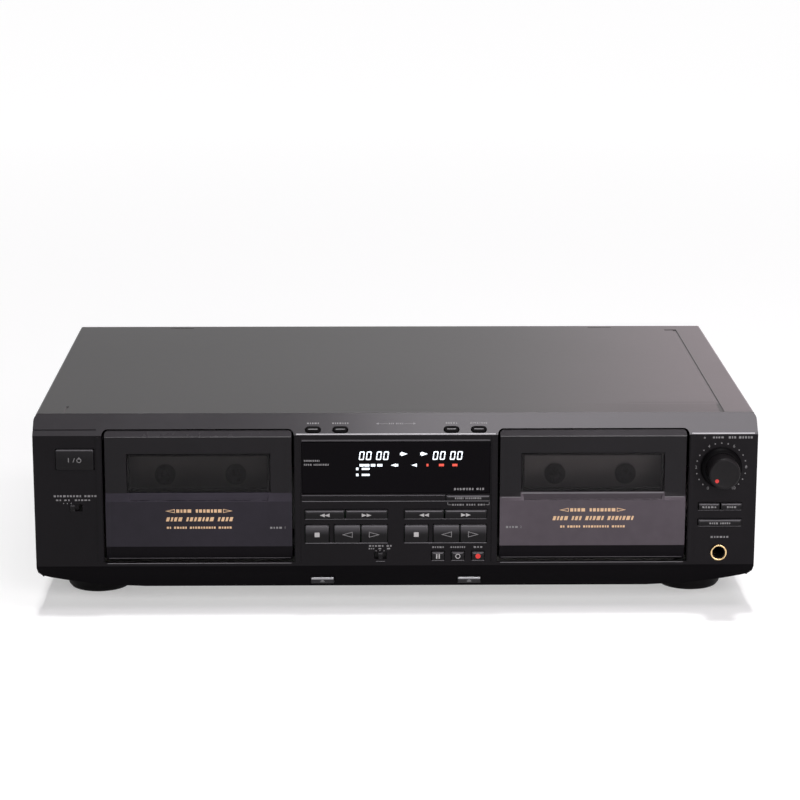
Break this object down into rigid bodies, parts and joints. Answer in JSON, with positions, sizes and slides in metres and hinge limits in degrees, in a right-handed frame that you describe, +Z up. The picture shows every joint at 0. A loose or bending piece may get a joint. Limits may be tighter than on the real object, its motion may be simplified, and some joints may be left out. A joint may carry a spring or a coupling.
{
  "type": "twin cassette deck",
  "caption": "Full-width hi-fi tape deck with tilting cassette doors, a display between them, transport keys, slide switches, a rotary level knob and a headphone socket.",
  "frame": {"origin": "on the floor under the middle of the deck's box, knob and rear jacks included", "axes": "+X to the right seen from the front, +Y to the back, +Z up; the flat face of the front panel lies at Y = -0.129"},
  "size_m": [0.43, 0.29, 0.12],
  "materials": {
    "panel_black": "satin moulded",
    "cover_black": "fine textured paint",
    "lid_black": "semi gloss",
    "key_black": "satin moulded",
    "smoked_window": "clear smoked",
    "display_pane": "clear dark",
    "holder_black": "moulded",
    "knob_black": "fine ribbed",
    "socket_gold": "gold plated",
    "spindle_black": "moulded",
    "plated_steel": "zinc plated",
    "bright_steel": "ground",
    "eject_silver": "silver painted",
    "foot_black": "moulded",
    "board_resin": "laminated",
    "core_steel": "laminated core",
    "jack_black": "moulded"
  },
  "bodies": {
    "deck": {"front_panel": "panel_black", "top_cover": "cover_black", "chassis_tray": "plated_steel", "rear_panel": "cover_black", "foot_front_left": "foot_black", "foot_front_right": "foot_black", "foot_rear_left": "foot_black", "foot_rear_right": "foot_black", "display_window": "display_pane", "phones_jack": "socket_gold", "jack_block": "jack_black", "cord_gland": "jack_black", "main_board": "board_resin", "control_board": "board_resin", "power_transformer": "core_steel", "mechanism_frame_a": "plated_steel", "mechanism_frame_b": "plated_steel"},
    "door_a": {"door_lid_a": "lid_black", "door_window_a": "smoked_window", "cassette_holder_a": "holder_black"},
    "door_b": {"door_lid_b": "lid_black", "door_window_b": "smoked_window", "cassette_holder_b": "holder_black"},
    "reel_spindle_a_left": {"reel_spindle_a_left": "spindle_black"},
    "reel_spindle_a_right": {"reel_spindle_a_right": "spindle_black"},
    "reel_spindle_b_left": {"reel_spindle_b_left": "spindle_black"},
    "reel_spindle_b_right": {"reel_spindle_b_right": "spindle_black"},
    "capstan_a_left": {"capstan_a_left": "bright_steel"},
    "capstan_a_right": {"capstan_a_right": "bright_steel"},
    "capstan_b_left": {"capstan_b_left": "bright_steel"},
    "capstan_b_right": {"capstan_b_right": "bright_steel"},
    "head_carriage_a": {"head_carriage_a": "plated_steel"},
    "head_carriage_b": {"head_carriage_b": "plated_steel"},
    "power_key": {"power_key": "key_black"},
    "eject_key_a": {"eject_key_a": "eject_silver"},
    "eject_key_b": {"eject_key_b": "eject_silver"},
    "bevel_key_1": {"bevel_key_1": "key_black"},
    "bevel_key_2": {"bevel_key_2": "key_black"},
    "bevel_key_3": {"bevel_key_3": "key_black"},
    "bevel_key_4": {"bevel_key_4": "key_black"},
    "rewind_key_a": {"rewind_key_a": "key_black"},
    "forward_key_a": {"forward_key_a": "key_black"},
    "stop_key_a": {"stop_key_a": "key_black"},
    "reverse_play_key_a": {"reverse_play_key_a": "key_black"},
    "play_key_a": {"play_key_a": "key_black"},
    "rewind_key_b": {"rewind_key_b": "key_black"},
    "forward_key_b": {"forward_key_b": "key_black"},
    "stop_key_b": {"stop_key_b": "key_black"},
    "reverse_play_key_b": {"reverse_play_key_b": "key_black"},
    "play_key_b": {"play_key_b": "key_black"},
    "pause_key": {"pause_key": "key_black"},
    "record_mute_key": {"record_mute_key": "key_black"},
    "record_key": {"record_key": "key_black"},
    "dubbing_key": {"dubbing_key": "key_black"},
    "fader_key": {"fader_key": "key_black"},
    "level_hold_key": {"level_hold_key": "key_black"},
    "synchro_key": {"synchro_key": "key_black"},
    "direction_slider": {"direction_slider": "key_black"},
    "noise_reduction_slider": {"noise_reduction_slider": "key_black"},
    "level_knob": {"level_knob": "knob_black"}
  },
  "joints": [
    {"name": "door_a_tilt", "type": "hinge", "parent": "deck", "child": "door_a", "pos_m": [-0.1174, -0.115, 0.04], "axis": [1, 0, 0], "range_deg": [0, 28]},
    {"name": "door_b_tilt", "type": "hinge", "parent": "deck", "child": "door_b", "pos_m": [0.1174, -0.115, 0.04], "axis": [1, 0, 0], "range_deg": [0, 28]},
    {"name": "reel_a_left_spin", "type": "hinge", "parent": "deck", "child": "reel_spindle_a_left", "pos_m": [-0.13865, -0.117, 0.0797], "axis": [0, 1, 0], "continuous": true},
    {"name": "reel_a_right_spin", "type": "hinge", "parent": "deck", "child": "reel_spindle_a_right", "pos_m": [-0.09615, -0.117, 0.0797], "axis": [0, 1, 0], "continuous": true},
    {"name": "reel_b_left_spin", "type": "hinge", "parent": "deck", "child": "reel_spindle_b_left", "pos_m": [0.09615, -0.117, 0.0797], "axis": [0, 1, 0], "continuous": true},
    {"name": "reel_b_right_spin", "type": "hinge", "parent": "deck", "child": "reel_spindle_b_right", "pos_m": [0.13865, -0.117, 0.0797], "axis": [0, 1, 0], "continuous": true},
    {"name": "capstan_a_left_spin", "type": "hinge", "parent": "deck", "child": "capstan_a_left", "pos_m": [-0.1384, -0.1, 0.0514], "axis": [0, 1, 0], "continuous": true},
    {"name": "capstan_a_right_spin", "type": "hinge", "parent": "deck", "child": "capstan_a_right", "pos_m": [-0.0964, -0.1, 0.0514], "axis": [0, 1, 0], "continuous": true},
    {"name": "capstan_b_left_spin", "type": "hinge", "parent": "deck", "child": "capstan_b_left", "pos_m": [0.0964, -0.1, 0.0514], "axis": [0, 1, 0], "continuous": true},
    {"name": "capstan_b_right_spin", "type": "hinge", "parent": "deck", "child": "capstan_b_right", "pos_m": [0.1384, -0.1, 0.0514], "axis": [0, 1, 0], "continuous": true},
    {"name": "head_a_lift", "type": "slide", "parent": "deck", "child": "head_carriage_a", "axis": [0, 0, 1], "range_m": [0, 0.004]},
    {"name": "head_b_lift", "type": "slide", "parent": "deck", "child": "head_carriage_b", "axis": [0, 0, 1], "range_m": [0, 0.004]},
    {"name": "power_press", "type": "slide", "parent": "deck", "child": "power_key", "axis": [0, 1, 0], "range_m": [0, 0.003], "stiffness_N_per_m": 300},
    {"name": "eject_a_press", "type": "slide", "parent": "deck", "child": "eject_key_a", "axis": [0, 1, 0], "range_m": [0, 0.003], "stiffness_N_per_m": 300},
    {"name": "eject_b_press", "type": "slide", "parent": "deck", "child": "eject_key_b", "axis": [0, 1, 0], "range_m": [0, 0.003], "stiffness_N_per_m": 300},
    {"name": "bevel_1_press", "type": "slide", "parent": "deck", "child": "bevel_key_1", "axis": [0, 0.7071, -0.7071], "range_m": [0, 0.0012], "stiffness_N_per_m": 300},
    {"name": "bevel_2_press", "type": "slide", "parent": "deck", "child": "bevel_key_2", "axis": [0, 0.7071, -0.7071], "range_m": [0, 0.0012], "stiffness_N_per_m": 300},
    {"name": "bevel_3_press", "type": "slide", "parent": "deck", "child": "bevel_key_3", "axis": [0, 0.7071, -0.7071], "range_m": [0, 0.0012], "stiffness_N_per_m": 300},
    {"name": "bevel_4_press", "type": "slide", "parent": "deck", "child": "bevel_key_4", "axis": [0, 0.7071, -0.7071], "range_m": [0, 0.0012], "stiffness_N_per_m": 300},
    {"name": "rewind_a_press", "type": "slide", "parent": "deck", "child": "rewind_key_a", "axis": [0, 1, 0], "range_m": [0, 0.0012], "stiffness_N_per_m": 300},
    {"name": "forward_a_press", "type": "slide", "parent": "deck", "child": "forward_key_a", "axis": [0, 1, 0], "range_m": [0, 0.0012], "stiffness_N_per_m": 300},
    {"name": "stop_a_press", "type": "slide", "parent": "deck", "child": "stop_key_a", "axis": [0, 1, 0], "range_m": [0, 0.0012], "stiffness_N_per_m": 300},
    {"name": "reverse_play_a_press", "type": "slide", "parent": "deck", "child": "reverse_play_key_a", "axis": [0, 1, 0], "range_m": [0, 0.0012], "stiffness_N_per_m": 300},
    {"name": "play_a_press", "type": "slide", "parent": "deck", "child": "play_key_a", "axis": [0, 1, 0], "range_m": [0, 0.0012], "stiffness_N_per_m": 300},
    {"name": "rewind_b_press", "type": "slide", "parent": "deck", "child": "rewind_key_b", "axis": [0, 1, 0], "range_m": [0, 0.0012], "stiffness_N_per_m": 300},
    {"name": "forward_b_press", "type": "slide", "parent": "deck", "child": "forward_key_b", "axis": [0, 1, 0], "range_m": [0, 0.0012], "stiffness_N_per_m": 300},
    {"name": "stop_b_press", "type": "slide", "parent": "deck", "child": "stop_key_b", "axis": [0, 1, 0], "range_m": [0, 0.0012], "stiffness_N_per_m": 300},
    {"name": "reverse_play_b_press", "type": "slide", "parent": "deck", "child": "reverse_play_key_b", "axis": [0, 1, 0], "range_m": [0, 0.0012], "stiffness_N_per_m": 300},
    {"name": "play_b_press", "type": "slide", "parent": "deck", "child": "play_key_b", "axis": [0, 1, 0], "range_m": [0, 0.0012], "stiffness_N_per_m": 300},
    {"name": "pause_press", "type": "slide", "parent": "deck", "child": "pause_key", "axis": [0, 1, 0], "range_m": [0, 0.0012], "stiffness_N_per_m": 300},
    {"name": "record_mute_press", "type": "slide", "parent": "deck", "child": "record_mute_key", "axis": [0, 1, 0], "range_m": [0, 0.0012], "stiffness_N_per_m": 300},
    {"name": "record_press", "type": "slide", "parent": "deck", "child": "record_key", "axis": [0, 1, 0], "range_m": [0, 0.0012], "stiffness_N_per_m": 300},
    {"name": "dubbing_press", "type": "slide", "parent": "deck", "child": "dubbing_key", "axis": [0, 1, 0], "range_m": [0, 0.0012], "stiffness_N_per_m": 300},
    {"name": "fader_press", "type": "slide", "parent": "deck", "child": "fader_key", "axis": [0, 1, 0], "range_m": [0, 0.0012], "stiffness_N_per_m": 300},
    {"name": "level_hold_press", "type": "slide", "parent": "deck", "child": "level_hold_key", "axis": [0, 1, 0], "range_m": [0, 0.0012], "stiffness_N_per_m": 300},
    {"name": "synchro_press", "type": "slide", "parent": "deck", "child": "synchro_key", "axis": [0, 1, 0], "range_m": [0, 0.0012], "stiffness_N_per_m": 300},
    {"name": "direction_slide", "type": "slide", "parent": "deck", "child": "direction_slider", "axis": [1, 0, 0], "range_m": [0, 0.0042]},
    {"name": "noise_reduction_slide", "type": "slide", "parent": "deck", "child": "noise_reduction_slider", "axis": [1, 0, 0], "range_m": [-0.0021, 0.0021]},
    {"name": "level_turn", "type": "hinge", "parent": "deck", "child": "level_knob", "pos_m": [0.19351, -0.129, 0.0887], "axis": [0, 1, 0], "range_deg": [-15, 285]}
  ],
  "couplings": [
    {"joint": "capstan_a_right_spin", "follows": "capstan_a_left_spin", "ratio": -1},
    {"joint": "capstan_b_right_spin", "follows": "capstan_b_left_spin", "ratio": -1}
  ]
}
